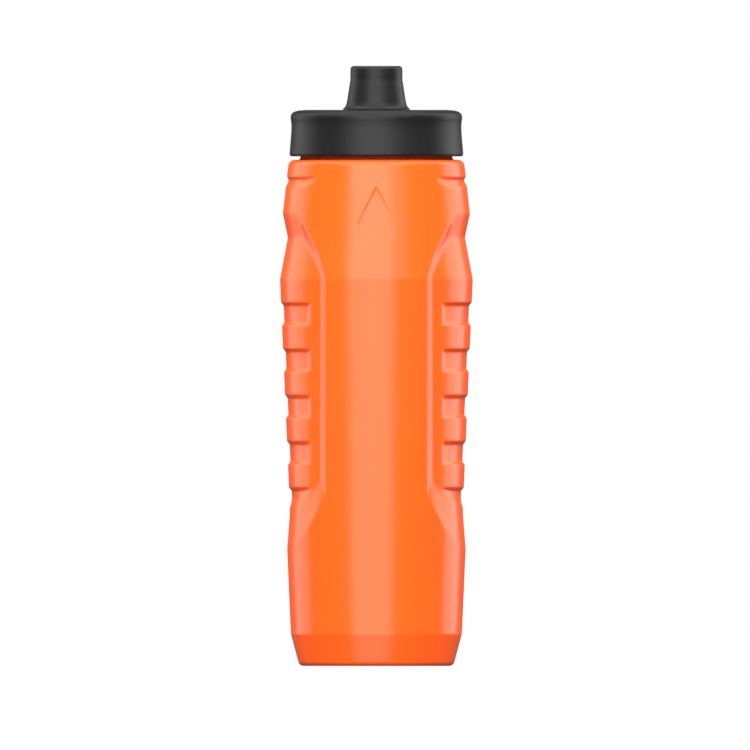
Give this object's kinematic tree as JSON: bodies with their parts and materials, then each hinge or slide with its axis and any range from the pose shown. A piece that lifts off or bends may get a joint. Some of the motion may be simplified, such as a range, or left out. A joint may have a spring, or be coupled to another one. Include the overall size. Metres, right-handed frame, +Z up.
{
  "type": "sports squeeze bottle",
  "caption": "Blow-moulded squeeze bottle with recessed side grips, a screw lid with a seal, and a cone spout that holds a self-closing slit valve.",
  "frame": {"origin": "middle of the base, on the surface the bottle stands on", "axes": "+Z up through the spout, -Y out of the front face with the droplet, +X and -X out of the two grips"},
  "size_m": [0.0828, 0.0866, 0.258],
  "materials": {
    "bottle_plastic": "satin orange polyethylene",
    "lid_plastic": "fine satin black polypropylene",
    "spout_plastic": "satin black polypropylene",
    "seal_rubber": "soft matt rubber",
    "valve_rubber": "soft matt silicone"
  },
  "bodies": {
    "bottle": {"bottle_body": "bottle_plastic"},
    "seal": {"lid_seal": "seal_rubber"},
    "cap": {"lid_cap": "lid_plastic", "spout": "spout_plastic", "valve_seat": "valve_rubber", "valve_retainer": "spout_plastic"},
    "petal_right": {"valve_petal_right": "valve_rubber"},
    "petal_back": {"valve_petal_back": "valve_rubber"},
    "petal_left": {"valve_petal_left": "valve_rubber"},
    "petal_front": {"valve_petal_front": "valve_rubber"}
  },
  "joints": [
    {"name": "cap_lift", "type": "slide", "parent": "bottle", "child": "seal", "axis": [0, 0, 1], "range_m": [0, 0.0167]},
    {"name": "cap_turn", "type": "hinge", "parent": "seal", "child": "cap", "pos_m": [0, 0, 0.2286], "axis": [0, 0, 1], "range_deg": [0, 600]},
    {"name": "petal_right_flex", "type": "hinge", "parent": "cap", "child": "petal_right", "pos_m": [0.006, 0, 0.2542], "axis": [0, 1, 0], "range_deg": [0, 45], "stiffness_Nm_per_rad": 0.0002},
    {"name": "petal_back_flex", "type": "hinge", "parent": "cap", "child": "petal_back", "pos_m": [0, 0.006, 0.2542], "axis": [-1, 0, 0], "range_deg": [0, 45], "stiffness_Nm_per_rad": 0.0002},
    {"name": "petal_left_flex", "type": "hinge", "parent": "cap", "child": "petal_left", "pos_m": [-0.006, 0, 0.2542], "axis": [0, -1, 0], "range_deg": [0, 45], "stiffness_Nm_per_rad": 0.0002},
    {"name": "petal_front_flex", "type": "hinge", "parent": "cap", "child": "petal_front", "pos_m": [0, -0.006, 0.2542], "axis": [1, 0, 0], "range_deg": [0, 45], "stiffness_Nm_per_rad": 0.0002}
  ],
  "couplings": [
    {"joint": "cap_lift", "follows": "cap_turn", "m_per_rad": 0.0015915},
    {"joint": "petal_back_flex", "follows": "petal_right_flex", "ratio": 1},
    {"joint": "petal_left_flex", "follows": "petal_right_flex", "ratio": 1},
    {"joint": "petal_front_flex", "follows": "petal_right_flex", "ratio": 1}
  ]
}
